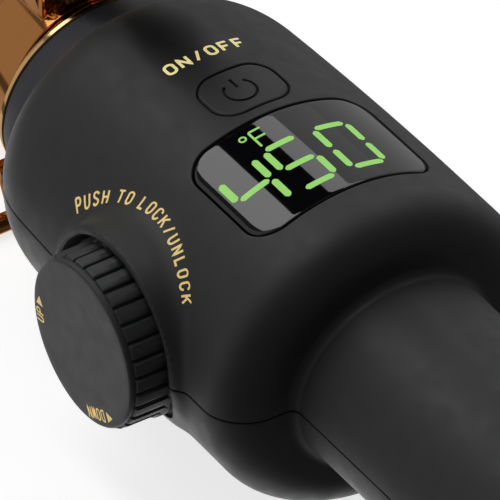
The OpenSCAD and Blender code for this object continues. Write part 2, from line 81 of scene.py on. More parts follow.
# Dial and the boss round it.
DIAL_FACE_Y = dial_hi.y
DIAL_R, RIBS = 13.0, 30
WELL_R, WELL_FLOOR_Y = 14.2, 23.4
BOSS_R, BOSS_TOP_Y, BOSS_EDGE, BOSS_BLEND = 15.4, 28.2, 0.5, 2.4
BOSS_TILT = math.radians(22)

# Window and button.
LENS_X = (lens_lo.x + lens_hi.x) / 2
LENS_LEN, LENS_W, LENS_CORNER, LENS_T = lens_hi.x - lens_lo.x, 2 * lens_hi.y, 4.0, 1.8
BUTTON_X, BUTTON_LEN, BUTTON_W, BUTTON_CORNER = 10.1, 9.3, 12.0, 3.5
TRIM = 0.3
SIGN_R, SIGN_Y = 2.35, 0.6

BARREL_R = (tube_hi.y - tube_lo.y) / 2


def oval_at(side):
    """Width of the housing over its height: more on the dial's side, where side is positive."""
    return np.where(np.asarray(side) > 0, OVAL, BACK_OVAL)


def place(points):
    """Millimetres in the tool's own frame to metres in the row frame."""
    out = np.array(points, float).reshape(-1, 3).copy()
    out[:, 2] += AXIS_Z
    return out * MM


# ---------------------------------------------------------------- camera

def make_camera():
    back = Vector((-0.6486, 0.4266, 0.6297)).normalized()
    aim = Vector(place((3.3, 3.3, 1.2))[0])
    distance, field = 1.2, 0.0698
    data = bpy.data.cameras.new("camera")
    data.sensor_width = 36
    data.lens = data.sensor_width * distance / field
    data.clip_start, data.clip_end = 0.1, 50
    camera = bpy.data.objects.new("camera", data)
    camera.location = aim + back * distance
    camera.rotation_euler = (-back).to_track_quat("-Z", "Y").to_euler()
    bpy.context.scene.collection.objects.link(camera)
    bpy.context.scene.camera = camera


make_camera()


# ---------------------------------------------------------------- materials

def new_material(name):
    material = bpy.data.materials.new(name)
    material.use_nodes = True
    nodes = material.node_tree.nodes
    return material, nodes, material.node_tree.links, nodes["Principled BSDF"]


def noise(nodes, links, size_mm, detail=3.0, stretch=(1, 1, 1)):
    """A noise texture whose features are size_mm across, in the piece's own coordinates."""
    coords = nodes.new("ShaderNodeTexCoord")
    mapping = nodes.new("ShaderNodeMapping")
    mapping.inputs["Scale"].default_value = stretch
    texture = nodes.new("ShaderNodeTexNoise")
    texture.inputs["Scale"].default_value = 1 / (size_mm * MM)
    texture.inputs["Detail"].default_value = detail
    links.new(coords.outputs["Object"], mapping.inputs["Vector"])
    links.new(mapping.outputs["Vector"], texture.inputs["Vector"])
    return texture.outputs["Fac"]


def spread(nodes, links, source, low, high):
    """Maps a noise to the range from low to high."""
    ranger = nodes.new("ShaderNodeMapRange")
    ranger.inputs["From Min"].default_value = 0.3
    ranger.inputs["From Max"].default_value = 0.7
    ranger.inputs["To Min"].default_value = low
    ranger.inputs["To Max"].default_value = high
    links.new(source, ranger.inputs["Value"])
    return ranger.outputs["Result"]


def finish_material(name, colour, roughness, metallic=0.0, grain=0.35, depth=0.01,
                    mottle=0.12, mottle_size=3.0, worn=0.06, specular=0.5, sheen=0.0,
                    coat=0.0, glow=0.0, stretch=(1, 1, 1)):
    """A moulded, plated or machined finish: grain as bump, with faint mottling of colour and
    gloss. glow is painted light: emission in the base colour, so the finish shines though it is
    no lamp."""
    material, nodes, links, shader = new_material(name)
    shader.inputs["Metallic"].default_value = metallic
    shader.inputs["Specular IOR Level"].default_value = specular
    shader.inputs["Sheen Weight"].default_value = sheen
    shader.inputs["Sheen Roughness"].default_value = 0.45
    shader.inputs["Coat Weight"].default_value = coat
    shader.inputs["Coat Roughness"].default_value = 0.05
    cloud = noise(nodes, links, mottle_size)
    mix = nodes.new("ShaderNodeMix")
    mix.data_type = "RGBA"
    mix.inputs["A"].default_value = [c * (1 - mottle) for c in colour] + [1]
    mix.inputs["B"].default_value = [min(1, c * (1 + mottle)) for c in colour] + [1]
    links.new(cloud, mix.inputs["Factor"])
    links.new(mix.outputs["Result"], shader.inputs["Base Color"])
    links.new(mix.outputs["Result"], shader.inputs["Emission Color"])
    # Emission in the surface's own colour: painted light, not a lamp.
    shader.inputs["Emission Strength"].default_value = glow
    links.new(spread(nodes, links, cloud, roughness - worn, roughness + worn),
              shader.inputs["Roughness"])
    bump = nodes.new("ShaderNodeBump")
    bump.inputs["Strength"].default_value = 1.0
    bump.inputs["Distance"].default_value = depth * MM
    links.new(noise(nodes, links, grain, 2.0, stretch), bump.inputs["Height"])
    links.new(bump.outputs["Normal"], shader.inputs["Normal"])
    return material


MATERIALS = {
    "housing": finish_material("soft_touch_black", (0.018, 0.0185, 0.018), 0.52, grain=0.22,
                               depth=0.006, sheen=0.12),
    "dial": finish_material("dial_black", (0.028, 0.029, 0.032), 0.50, grain=0.25, depth=0.008,
                            sheen=0.15),
    "collar": finish_material("granular_collar", (0.036, 0.037, 0.045), 0.62, grain=0.55,
                              depth=0.10, mottle=0.35, mottle_size=0.8),
    "tip": finish_material("cool_tip_black", (0.018, 0.018, 0.019), 0.5, grain=0.3, depth=0.01),
    "ring": finish_material("ring_gold", (0.80, 0.50, 0.22), 0.12, metallic=1.0, grain=0.5,
                            depth=0.0015, mottle=0.05, mottle_size=12, worn=0.03),
    # The same gold as the ring, but its colour is darkened to stand in for the dark reflections
    # on the barrel and clip: real gold with painted shade on top.
    "gold": finish_material("gold_plate", (0.52, 0.22, 0.07), 0.12, metallic=1.0, grain=0.5,
                            depth=0.0015, mottle=0.05, mottle_size=12, worn=0.03,
                            stretch=(0.15, 1, 1)),
    "lens": finish_material("window_gloss", (0.004, 0.004, 0.005), 0.035, grain=6, depth=0.001,
                            mottle=0.1, worn=0.01, coat=0.3),
    # Both prints glow, which is painted light. The top print is the same ink painted lighter and
    # glowing more than the side print: painted top light.
    "print_painted_brighter": finish_material("gold_print_painted_brighter", (0.98, 0.82, 0.38), 0.45, grain=0.12,
                                    depth=0.01, mottle=0.08, mottle_size=0.6, glow=0.5),
    "print": finish_material("gold_print", (0.90, 0.66, 0.26), 0.45, grain=0.12, depth=0.01,
                             mottle=0.10, mottle_size=0.6, glow=0.35),
    "steel": finish_material("bright_steel", (0.60, 0.61, 0.63), 0.25, metallic=1.0, grain=0.4,
                             depth=0.003, stretch=(1, 0.1, 1)),
    "aluminium": finish_material("extruded_aluminium", (0.72, 0.73, 0.75), 0.38, metallic=1.0,
                                 grain=0.4, depth=0.004, stretch=(0.05, 1, 1)),
    "brass": finish_material("contact_brass", (0.78, 0.56, 0.22), 0.22, metallic=1.0,
                             grain=0.4, depth=0.002),
    "ivory": finish_material("natural_nylon", (0.74, 0.71, 0.62), 0.42, grain=0.4, depth=0.008),
    "board": finish_material("circuit_board", (0.02, 0.14, 0.05), 0.32, grain=0.3, depth=0.01,
                             coat=0.3),
    "black": finish_material("component_black", (0.03, 0.03, 0.032), 0.45),
    "red": finish_material("dipped_red", (0.42, 0.05, 0.03), 0.25, grain=1.2, depth=0.02),
    "ceramic": finish_material("alumina", (0.82, 0.79, 0.72), 0.6, grain=0.3, depth=0.01),
    "mica": finish_material("mica_layers", (0.56, 0.50, 0.38), 0.4, grain=0.5, depth=0.02),
    "sleeving": finish_material("woven_sleeving", (0.66, 0.62, 0.55), 0.8, grain=0.35,
                                depth=0.06, stretch=(1.6, 1, 1)),
}


def lit_material(name, colour, strength):
    """A glowing read-out segment behind the window's gloss."""
    material, nodes, links, shader = new_material(name)
    cloud = noise(nodes, links, 1.5)
    mix = nodes.new("ShaderNodeMix")
    mix.data_type = "RGBA"
    mix.inputs["A"].default_value = [c * 0.93 for c in colour] + [1]
    mix.inputs["B"].default_value = [min(1, c * 1.07) for c in colour] + [1]
    links.new(cloud, mix.inputs["Factor"])
    links.new(mix.outputs["Result"], shader.inputs["Emission Color"])
    shader.inputs["Base Color"].default_value = (0.01, 0.02, 0.01, 1)
    shader.inputs["Emission Strength"].default_value = strength
    shader.inputs["Roughness"].default_value = 0.3
    shader.inputs["Specular IOR Level"].default_value = 0.1
    return material


MATERIALS["lit"] = lit_material("lit_segment", (0.33, 0.70, 0.17), 0.92)


# ---------------------------------------------------------------- mesh helpers

def grid_faces(rows, columns, closed=False, start=0, flip=False):
    """Quads between the points of a grid laid out row by row."""
    faces = []
    for i in range(rows - 1):
        for j in range(columns if closed else columns - 1):
            k = (j + 1) % columns
            quad = (start + i * columns + j, start + i * columns + k,
                    start + (i + 1) * columns + k, start + (i + 1) * columns + j)
            faces.append(quad[::-1] if flip else quad)
    return faces


def mesh_of(name, points, faces):
    mesh = bpy.data.meshes.new(name)
    mesh.from_pydata(place(points).tolist(), [], faces)
    mesh.validate()
    work = bmesh.new()
    work.from_mesh(mesh)
    bmesh.ops.remove_doubles(work, verts=work.verts, dist=1e-7)
    bmesh.ops.recalc_face_normals(work, faces=work.faces)
    work.to_mesh(mesh)
    work.free()
    return mesh


def shade(mesh, angle=34):
    mesh.polygons.foreach_set("use_smooth", [True] * len(mesh.polygons))
    mesh.set_sharp_from_angle(angle=math.radians(angle))
    mesh.update()


def add_piece(name, mesh, body, material, replaces=()):
    piece = bpy.data.objects.new(name, mesh)
    bpy.context.scene.collection.objects.link(piece)
    mesh.materials.clear()
    mesh.materials.append(MATERIALS[material])
    shade(mesh)
    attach(piece, body)
    if replaces:
        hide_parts(*replaces)
    return piece


def combine(mesh, others, operation="DIFFERENCE"):
    """The mesh after cutting away, or adding, other closed meshes."""
    base = bpy.data.objects.new("base", mesh)
    bpy.context.scene.collection.objects.link(base)
    used = []
    for other in others:
        tool = bpy.data.objects.new("tool", other)
        bpy.context.scene.collection.objects.link(tool)
        modifier = base.modifiers.new("cut", "BOOLEAN")
        modifier.operation = operation
        modifier.solver = "MANIFOLD"
        modifier.object = tool
        used.append(tool)
    made = bpy.data.meshes.new_from_object(
        base.evaluated_get(bpy.context.evaluated_depsgraph_get()))
    for obj in [base] + used:
        bpy.data.objects.remove(obj)
    return made


def turned(name, outline, steps=256, oval=False, axis="x"):
    """A closed solid turned from an outline of (distance along the axis, radius) points."""
    angles = np.linspace(0, 2 * math.pi, steps, endpoint=False)
    stretch = oval_at(np.cos(angles)) if oval else 1
    rows = []
    for along, radius in outline:
        a, b = radius * stretch * np.cos(angles), radius * np.sin(angles)
        flat = np.full(steps, float(along))
        rows.append(np.stack([flat, a, b] if axis == "x" else [b, flat, a], 1))
    points = np.concatenate(rows)
    faces = grid_faces(len(outline), steps, closed=True)
    last = (len(outline) - 1) * steps
    if outline[0] == outline[-1]:
        return mesh_of(name, points, faces)
    faces.append(tuple(range(steps)))
    faces.append(tuple(range(last, last + steps)))
    return mesh_of(name, points, faces)


def arc(centre, radius, start, end, steps=8):
    return [(centre[0] + radius * math.cos(math.radians(start + (end - start) * i / steps)),
             centre[1] + radius * math.sin(math.radians(start + (end - start) * i / steps)))
            for i in range(steps + 1)]


def bezier(p0, p1, p2, p3, steps):
    t = np.linspace(0, 1, steps + 1)[:, None]
    s = 1 - t
    p0, p1, p2, p3 = (np.array(p, float) for p in (p0, p1, p2, p3))
    curve = s**3 * p0 + 3 * s**2 * t * p1 + 3 * s * t**2 * p2 + t**3 * p3
    return [tuple(p) for p in curve]


# ---------------------------------------------------------------- housing surface

def housing_path(t=0.0):
    """Outline of the housing as (distance along the tool, radius), drawn in by t."""
    neck_x = SHOULDER_X - NECK_FILLET
    path = bezier((HANDLE_X, HANDLE_END_R - t), (-110, NECK_R - t), (-60, NECK_R - t - 0.4),
                  (neck_x, NECK_R - t), 56)
    path += arc((neck_x, NECK_R + NECK_FILLET), NECK_FILLET + t, -84, 0, 8)
    path += arc((SHOULDER_X + SHOULDER_ROUND, BULB_R - SHOULDER_ROUND), SHOULDER_ROUND - t,
                180, 90, 20)
    start = path[-1][0]
    path += [(x, BULB_R - t) for x in np.linspace(start + 0.5, TAPER_START - 0.5, 18)]
    path += bezier((TAPER_START, BULB_R - t), (2, BULB_R - t), (16, DOME_R + 0.6 - t),
                   (DOME_START, DOME_R - t), 80)
    path += bezier((DOME_START, DOME_R - t), (33, DOME_R - 0.3 - t), (37.2, NOSE_R + 3.2 - t),
                   (NOSE_X, NOSE_R - t), 48)[1:]
    return path


OUTLINE = np.array([p for p in housing_path() if p[0] >= SHOULDER_X])
OUTLINE_X, OUTLINE_R = OUTLINE[:, 0], OUTLINE[:, 1]


def body_radius(x):
    return np.interp(x, OUTLINE_X, OUTLINE_R)


def boss_distance(x, y, z):
    """Signed distance to the boss, a cylinder about the dial's axis with a rounded rim that
    slopes away below the parting line. The slope eases in over about a millimetre."""
    out = np.sqrt(x * x + z * z) - BOSS_R + BOSS_EDGE
    ease = 0.4
    drop = math.tan(BOSS_TILT) * (np.sqrt(z * z + 1) - z - ease) / 2
    up = (y - BOSS_TOP_Y + np.maximum(drop, 0)) * math.cos(BOSS_TILT / 2) + BOSS_EDGE
    outside = np.sqrt(np.maximum(out, 0) ** 2 + np.maximum(up, 0) ** 2)
    return np.minimum(np.maximum(out, up), 0) + outside - BOSS_EDGE


def skin_radius(x, angle, radius):
    """Radius of the outer skin along rays from the axis, with the boss blended in."""
    y_dir, z_dir = oval_at(np.cos(angle)) * np.cos(angle), np.sin(angle)
    low, high = radius.copy(), radius * 1.3
    stretch = np.sqrt(y_dir**2 + z_dir**2)
    for _ in range(28):
        middle = (low + high) / 2
        body = (middle - radius) * stretch
        boss = boss_distance(x, middle * y_dir, middle * z_dir)
        share = np.maximum(BOSS_BLEND - np.abs(body - boss), 0) / BOSS_BLEND
        joined = np.minimum(body, boss) - share * share * BOSS_BLEND / 4
        inside = joined < 0
        low, high = np.where(inside, middle, low), np.where(inside, high, middle)
    near = (np.abs(x) < BOSS_R + BOSS_BLEND) & (np.cos(angle) > 0)
    return np.where(near, np.maximum(low, radius), radius)


def shell_angles(upper):
    """Angles round half of the housing, closer together beside the dial and at the seam."""
    dial_side, step, by_seam = 52, 0.6, 0.25
    fine = np.radians(np.arange(0, dial_side, step))
    coarse = np.radians(np.linspace(dial_side, 180, 100))
    angles = np.concatenate([[0.0], [math.radians(by_seam)], fine[1:], coarse])
    return angles if upper else -angles


def shell_mesh(upper):
    side = 1 if upper else -1
    angles = shell_angles(upper)
    outer_path = np.array(housing_path(0.0))
    thick_path = np.array(housing_path(WALL))
    thin_path = np.array(housing_path(LIP))
    ring = len(angles)
    x, angle = np.meshgrid(outer_path[:, 0], angles, indexing="ij")
    radius = np.repeat(outer_path[:, 1:2], ring, 1)
    radius = skin_radius(x, angle, radius)
    radius[:, 0] -= SEAM_CHAMFER
    radius[:, -1] -= SEAM_CHAMFER
    radius[-1] -= MOUTH_CHAMFER
    across = oval_at(np.cos(angle)) * np.cos(angle)
    outer = np.stack([x, radius * across,
                      SEAM * side + radius * np.sin(angle) * (1 - SEAM / BULB_R)], 2)
    outer[..., 2] = np.maximum(outer[..., 2], REST_Z)
    if upper:
        height = np.abs(np.sin(angle)) * radius
        thin = (height < LIP_HEIGHT)[..., None]
    else:
        thin = np.zeros(x.shape + (1,), bool)
    path = np.where(thin, thin_path[:, None, :], thick_path[:, None, :])
    inner = np.stack([path[..., 0], path[..., 1] * across,
                      SEAM * side + path[..., 1] * np.sin(angle) * (1 - SEAM / BULB_R)], 2)
    inner[0, :, 0] = HANDLE_X
    inner[-1, :, 0] = NOSE_X
    rows = len(outer_path)
    points = np.concatenate([outer.reshape(-1, 3), inner.reshape(-1, 3)])
    count = rows * ring
    faces = grid_faces(rows, ring) + grid_faces(rows, ring, start=count, flip=True)
    for i in range(rows - 1):
        for j in (0, ring - 1):
            a, b = i * ring + j, (i + 1) * ring + j
            faces.append((a, b, b + count, a + count))
    for j in range(ring - 1):
        for i in (0, rows - 1):
            a, b = i * ring + j, i * ring + j + 1
            faces.append((a, b, b + count, a + count))
    return mesh_of("shell", points, faces)


# ---------------------------------------------------------------- window, button, openings

SIDE_PARTS = 40


def rounded_outline(length, width, corner, steps=14):
    """Points round a rectangle with rounded corners, centred on the origin."""
    points = []
    for sx, sy, start in ((1, 1, 0), (-1, 1, 90), (-1, -1, 180), (1, -1, 270)):
        centre = (sx * (length / 2 - corner), sy * (width / 2 - corner))
        points += arc(centre, corner, start, start + 90, steps)
    full = []
    for i, (a, b) in enumerate(zip(points, points[1:] + points[:1])):
        parts = SIDE_PARTS if i % (steps + 1) == steps else 1
        full += [(a[0] + (b[0] - a[0]) * k / parts, a[1] + (b[1] - a[1]) * k / parts)
                 for k in range(parts)]
    return np.array(full)


def top_height(x, y):
    """Height of the housing's skin above the tool's axis."""
    radius = body_radius(x)
    return np.sqrt(np.maximum(radius**2 - (y / oval_at(y)) ** 2, 0))


def conforming(name, centre_x, length, width, corner, rings, core=24):
    """A closed pad whose top follows the housing. rings lists (inset, depth below the skin)
    from the bottom edge up and inwards; the top is then filled towards its centre."""
    rows = []
    for inset, depth in rings:
        outline = rounded_outline(length - 2 * inset, width - 2 * inset,
                                  max(corner - inset, 0.3))
        x, y = outline[:, 0] + centre_x, outline[:, 1]
        rows.append(np.stack([x, y, top_height(x, y) - depth], 1))
    rim = rows[-1]
    top_depth = rings[-1][1]
    for k in range(1, core):
        share = 1 - k / core
        x = centre_x + (rim[:, 0] - centre_x) * share
        y = rim[:, 1] * share
        rows.append(np.stack([x, y, top_height(x, y) - top_depth], 1))
    count = len(rim)
    bottom, under_depth = rows[0], rings[0][1]
    centre_top = np.array([[centre_x, 0, top_height(centre_x, 0) - top_depth]])
    floor_rows = []
    for k in range(1, core):
        share = 1 - k / core
        x = centre_x + (bottom[:, 0] - centre_x) * share
        y = bottom[:, 1] * share
        floor_rows.append(np.stack([x, y, top_height(x, y) - under_depth], 1))
    centre_bottom = np.array([[centre_x, 0, top_height(centre_x, 0) - under_depth]])
    grid = floor_rows[::-1] + rows
    points = np.concatenate([np.concatenate(grid), centre_top, centre_bottom])
    faces = grid_faces(len(grid), count, closed=True)
    top, under = len(points) - 2, len(points) - 1
    last = (len(grid) - 1) * count
    for j in range(count):
        faces.append((last + j, last + (j + 1) % count, top))
        faces.append((j, under, (j + 1) % count))
    return mesh_of(name, points, faces)


def opening_cutter(centre_x, length, width, corner):
    """A cutter that leaves a softly rounded edge round an opening in the top."""
    rings = [(0, 8), (0, 0.22), (-0.03, 0.1), (-0.08, 0.03), (-0.16, -0.01), (-0.3, -0.05),
             (-0.3, -4)]
    return conforming("cutter", centre_x, length, width, corner, rings)


def round_bar(start, end, radius, steps=48):
    """A straight round bar between two points."""
    start, end = np.array(start, float), np.array(end, float)
    along = (end - start) / np.linalg.norm(end - start)
    side = np.cross(along, [0, 0, 1] if abs(along[2]) < 0.9 else [1, 0, 0])
    side /= np.linalg.norm(side)
    up = np.cross(along, side)
    turn = np.linspace(0, 2 * math.pi, steps, endpoint=False)
    circle = radius * (np.cos(turn)[:, None] * side + np.sin(turn)[:, None] * up)
    faces = grid_faces(2, steps, closed=True)
    faces += [tuple(range(steps)), tuple(range(steps, 2 * steps))]
    return mesh_of("bar", np.concatenate([start + circle, end + circle]), faces)


SCREW_X = [28, -21, -114]
SCREW_BORE, SCREW_POST, SCREW_SEAT_Z = 3.2, 4.2, -9


def dial_cup(upper):
    """One shell's half of the cup that the dial stands in, kept inside the boss."""
    back_y, front_y = WELL_FLOOR_Y - WALL, BOSS_TOP_Y - 1.2
    cup = turned("cup", [(back_y, 0), (back_y, BOSS_R - 0.3), (front_y, BOSS_R - 0.9),
                         (front_y, 0)], steps=180, axis="y")
    wide, tall, top_y = 20, 30, BOSS_TOP_Y - 0.6
    if upper:
        half = slab_mesh(-wide, wide, 0, top_y, top_y, SEAM, tall)
    else:
        under_y = top_y - tall * math.tan(BOSS_TILT)
        half = slab_mesh(-wide, wide, 0, under_y, top_y, -tall, -SEAM)
    return combine(cup, [half], "INTERSECT")


def make_shells():
    for name, upper in (("upper_shell", True), ("lower_shell", False)):
        mesh = combine(shell_mesh(upper), [dial_cup(upper)], "UNION")
        cutters = [well_cutter()]
        if upper:
            cutters.append(opening_cutter(LENS_X, LENS_LEN + 2 * TRIM, LENS_W + 2 * TRIM,
                                          LENS_CORNER + TRIM))
            cutters.append(opening_cutter(BUTTON_X, BUTTON_LEN + 2 * TRIM,
                                          BUTTON_W + 2 * TRIM, BUTTON_CORNER + TRIM))
        else:
            posts = [round_bar((x, 0, -post_depth(x)), (x, 0, -SEAM * 2), SCREW_POST)
                     for x in SCREW_X]
            for post in posts:
                mesh = combine(mesh, [post], "UNION")
            cutters += [round_bar((x, 0, -30), (x, 0, SCREW_SEAT_Z - 2), SCREW_BORE)
                        for x in SCREW_X]
        mesh = combine(mesh, cutters)
        add_piece(name + "_skin", mesh, "root", "housing", [name])


def post_depth(x):
    """How far below the axis a screw post reaches: just inside the shell's skin."""
    skin = NECK_R if x < SHOULDER_X else float(body_radius(x))
    return skin - 1.3


def slab_mesh(x0, x1, y0, y_under, y_top, z0, z1):
    """A block whose far side slopes, from y_under at its underside to y_top at its top."""
    points = [(x, y, z) for z, y1 in ((z0, y_under), (z1, y_top)) for y in (y0, y1)
              for x in (x0, x1)]
    faces = [(0, 1, 3, 2), (4, 6, 7, 5), (0, 4, 5, 1), (2, 3, 7, 6), (0, 2, 6, 4),
             (1, 5, 7, 3)]
    return mesh_of("slab", points, faces)


def well_cutter():
    """The dial's well, with a softly rounded mouth."""
    top = BOSS_TOP_Y
    outline = [(WELL_FLOOR_Y, 0), (WELL_FLOOR_Y, WELL_R), (top - 0.5, WELL_R),
               (top - 0.2, WELL_R + 0.08), (top, WELL_R + 0.35), (top + 6, WELL_R + 0.35),
               (top + 6, 0)]
    return turned("well", outline, steps=180, axis="y")


def make_window():
    rings = [(0, LENS_T), (0, 0.35), (0.04, 0.2), (0.14, 0.08), (0.3, 0.01), (0.45, 0.0)]
    mesh = conforming("lens", LENS_X, LENS_LEN, LENS_W, LENS_CORNER, rings)
    add_piece("display_window", mesh, "root", "lens", ["display_lens"])


def slot_cutter(path, across, height, half=0.24, deep=0.6):
    """A closed cutter for a deep slot along a path of points seen from above."""
    tube = np.linspace(0, 2 * math.pi, 12, endpoint=False)
    rows = [np.array([x, y, height]) + half * np.cos(tube)[:, None] * np.array([*side, 0])
            + deep * np.sin(tube)[:, None] * np.array([0, 0, 1])
            for (x, y), side in zip(path, across)]
    faces = grid_faces(len(rows), 12, closed=True)
    last = (len(rows) - 1) * 12
    faces += [tuple(range(12)), tuple(range(last, last + 12))]
    return mesh_of("slot", np.concatenate(rows), faces)


def power_symbol(height):
    """Slot cutters for the power sign: an open ring and a bar."""
    turn = np.radians(np.linspace(40, 320, 60))
    out = np.stack([np.cos(turn), np.sin(turn)], 1)
    centre = np.array([BUTTON_X - 0.3, SIGN_Y])
    bar = [(BUTTON_X + 0.4, SIGN_Y), (BUTTON_X + 2.6, SIGN_Y)]
    return [slot_cutter(centre + SIGN_R * out, out, height),
            slot_cutter(bar, [(0, 1), (0, 1)], height)]


def make_button():
    rings = [(0, 3.2), (0, 0.3), (0.05, 0.15), (0.15, 0.05), (0.3, 0.01), (0.5, 0.0)]
    mesh = conforming("button", BUTTON_X, BUTTON_LEN, BUTTON_W, BUTTON_CORNER, rings)
    height = float(top_height(BUTTON_X, 0))
    for groove in power_symbol(height):
        mesh = combine(mesh, [groove])
    add_piece("power_button_cap", mesh, "power_button", "housing",
              ["power_button"])


# ---------------------------------------------------------------- dial

def make_dial():
    base_y = node_box("dial_body")[0].y
    lip_y = DIAL_FACE_Y - 0.9
    per_rib = 14
    steps = RIBS * per_rib
    turn = np.linspace(0, 2 * math.pi, steps, endpoint=False) + math.radians(5)
    phase = (np.arange(steps) % per_rib) / per_rib
    groove = np.interp(phase, [0, 0.70, 0.80, 0.88, 0.96, 1.0], [0, 0.10, 0.75, 0.75, 0.05, 0])
    rows = []
    for y, radius, ribbed in ((base_y, DIAL_R - 1, 0), (base_y, DIAL_R + 0.15, 0),
                              (base_y + 0.9, DIAL_R + 0.3, 0), (base_y + 1.7, DIAL_R + 0.3, 0),
                              (base_y + 2.0, DIAL_R + 0.1, 0.2), (base_y + 2.2, DIAL_R, 1),
                              (lip_y - 0.5, DIAL_R - 0.05, 1), (lip_y - 0.15, DIAL_R - 0.2, 0.8),
                              (lip_y, DIAL_R - 0.5, 0.3), (lip_y, DIAL_R - 1.6, 0)):
        r = radius - groove * ribbed
        rows.append(np.stack([r * np.cos(turn), np.full(steps, y), r * np.sin(turn)], 1))
    inner = [(lip_y, DIAL_R - 2.2), (base_y + 2, DIAL_R - 2.2), (base_y, DIAL_R - 2.0)]
    for y, radius in inner:
        rows.append(np.stack([radius * np.cos(turn), np.full(steps, y),
                              radius * np.sin(turn)], 1))
    faces = grid_faces(len(rows), steps, closed=True)
    last = (len(rows) - 1) * steps
    faces += [(last + j, last + (j + 1) % steps, (j + 1) % steps, j) for j in range(steps)]
    add_piece("dial_rim", mesh_of("dial", np.concatenate(rows), faces), "dial",
              "dial", ["dial_body"])
    face = DIAL_FACE_Y
    outline = [(face - 2, 0), (face - 2, DIAL_R - 2.2), (lip_y, DIAL_R - 2.2),
               (lip_y, DIAL_R - 0.55)] + arc((face - 0.5, DIAL_R - 1.0), 0.5, 90, 0, 6)
    outline += [(face, DIAL_R - 2), (face, DIAL_R / 2), (face, 0)]
    add_piece("dial_face", turned("dial_face", outline, steps=240, axis="y"), "dial",
              "dial", ["dial_cap"])


# ---------------------------------------------------------------- collar, ring and barrel

def make_barrel():
    front, collar_front_r, ring_r = collar_hi.x, 15.85, 15.7
    lug_x, lug_r, neck_r, bore_r = 36.2, NOSE_R - 1.6, NOSE_R - WALL - 0.3, BARREL_R + 0.1
    outline = [(collar_lo.x, lug_r), (lug_x, lug_r), (lug_x, neck_r),
               (NOSE_X + 0.12, neck_r), (NOSE_X + 0.12, NOSE_R - 0.75)]
    outline += arc((NOSE_X + 0.62, NOSE_R - 0.85), 0.5, 175, 75, 5)
    outline += arc((front - 1, collar_front_r - 1.02), 1, 72, 0, 6)
    outline += [(front, bore_r), (collar_lo.x, bore_r)]
    outline.append(outline[0])
    add_piece("heat_collar_ring", turned("collar", outline, 360, True), "root",
              "collar", ["heat_collar"])
    outline = [(ring_lo.x, ring_r - 0.25), (ring_lo.x + 0.1, ring_r - 0.05),
               (ring_lo.x + 0.35, ring_r - 0.02)]
    outline += arc((ring_hi.x, ring_r + 0.5), 2.5, 192, 262, 12)
    ring_bore = 12.75
    outline += [(ring_hi.x, ring_bore), (ring_lo.x, ring_bore)]
    outline.append(outline[0])
    add_piece("base_ring_flare", turned("ring", outline, 256, True), "root",
              "ring", ["base_ring"])
    wall, chamfer = 1.2, 0.3
    outline = [(tube_lo.x, BARREL_R)] + [(x, BARREL_R) for x in np.linspace(50, 190, 15)]
    outline += [(tube_hi.x - chamfer, BARREL_R), (tube_hi.x, BARREL_R - chamfer),
                (tube_hi.x, BARREL_R - wall), (tube_lo.x, BARREL_R - wall)]
    outline.append(outline[0])
    add_piece("barrel_sleeve", turned("barrel", outline, 256), "root", "gold",
              ["barrel_tube"])


# ---------------------------------------------------------------- printed legends

def bowl(cx, cy, rx, ry, start, end, steps=8):
    """Points on part of an ellipse, for the round strokes of a letter."""
    turn = np.radians(np.linspace(start, end, steps + 1))
    return [(cx + rx * math.cos(a), cy + ry * math.sin(a)) for a in turn]


# Strokes of a condensed lettering in a cell 1 wide and 1 high, centred across.
ROUND = (bowl(0, 0.74, 0.40, 0.26, 0, 180) + bowl(0, 0.26, 0.40, 0.26, 180, 360)
         + [(0.40, 0.74)])
GLYPHS = {
    "P": [[(-0.38, 0), (-0.38, 1)],
          [(-0.38, 1), (0.0, 1)] + bowl(0.05, 0.74, 0.35, 0.26, 80, -80) + [(-0.38, 0.48)]],
    "U": [[(-0.40, 1), (-0.40, 0.3)] + bowl(0, 0.26, 0.40, 0.26, 180, 360)[1:-1]
          + [(0.40, 0.3), (0.40, 1)]],
    "S": [bowl(0, 0.76, 0.38, 0.24, 10, 215) + [(0.2, 0.42)]
          + bowl(0, 0.24, 0.38, 0.24, 35, -170)],
    "H": [[(-0.40, 0), (-0.40, 1)], [(0.40, 0), (0.40, 1)], [(-0.40, 0.5), (0.40, 0.5)]],
    "T": [[(0, 0), (0, 1)], [(-0.44, 1), (0.44, 1)]],
    "O": [ROUND],
    "L": [[(-0.36, 1), (-0.36, 0), (0.38, 0)]],
    "C": [bowl(0, 0.74, 0.40, 0.26, -5, 180) + bowl(0, 0.26, 0.40, 0.26, 180, 365)],
    "K": [[(-0.40, 0), (-0.40, 1)], [(0.42, 1), (-0.36, 0.36)], [(-0.12, 0.56), (0.44, 0)]],
    "/": [[(-0.26, 0), (0.26, 1)]],
    "N": [[(-0.40, 0), (-0.40, 1), (0.40, 0), (0.40, 1)]],
    "F": [[(-0.36, 0), (-0.36, 1), (0.40, 1)], [(-0.36, 0.5), (0.28, 0.5)]],
    "D": [[(-0.38, 0), (-0.38, 1)] + bowl(0, 0.7, 0.40, 0.30, 90, 0)
          + bowl(0, 0.3, 0.40, 0.30, 0, -90) + [(-0.38, 0)]],
    "W": [[(-0.5, 1), (-0.26, 0), (0, 0.9), (0.26, 0), (0.5, 1)]],
}


def finer(points, step=0.22):
    """The same path with more points along its long stretches."""
    path = [points[0]]
    for a, b in zip(points, points[1:]):
        parts = max(1, math.ceil(math.dist(a, b) / step))
        path += [(a[0] + (b[0] - a[0]) * k / parts, a[1] + (b[1] - a[1]) * k / parts)
                 for k in range(1, parts + 1)]
    return path


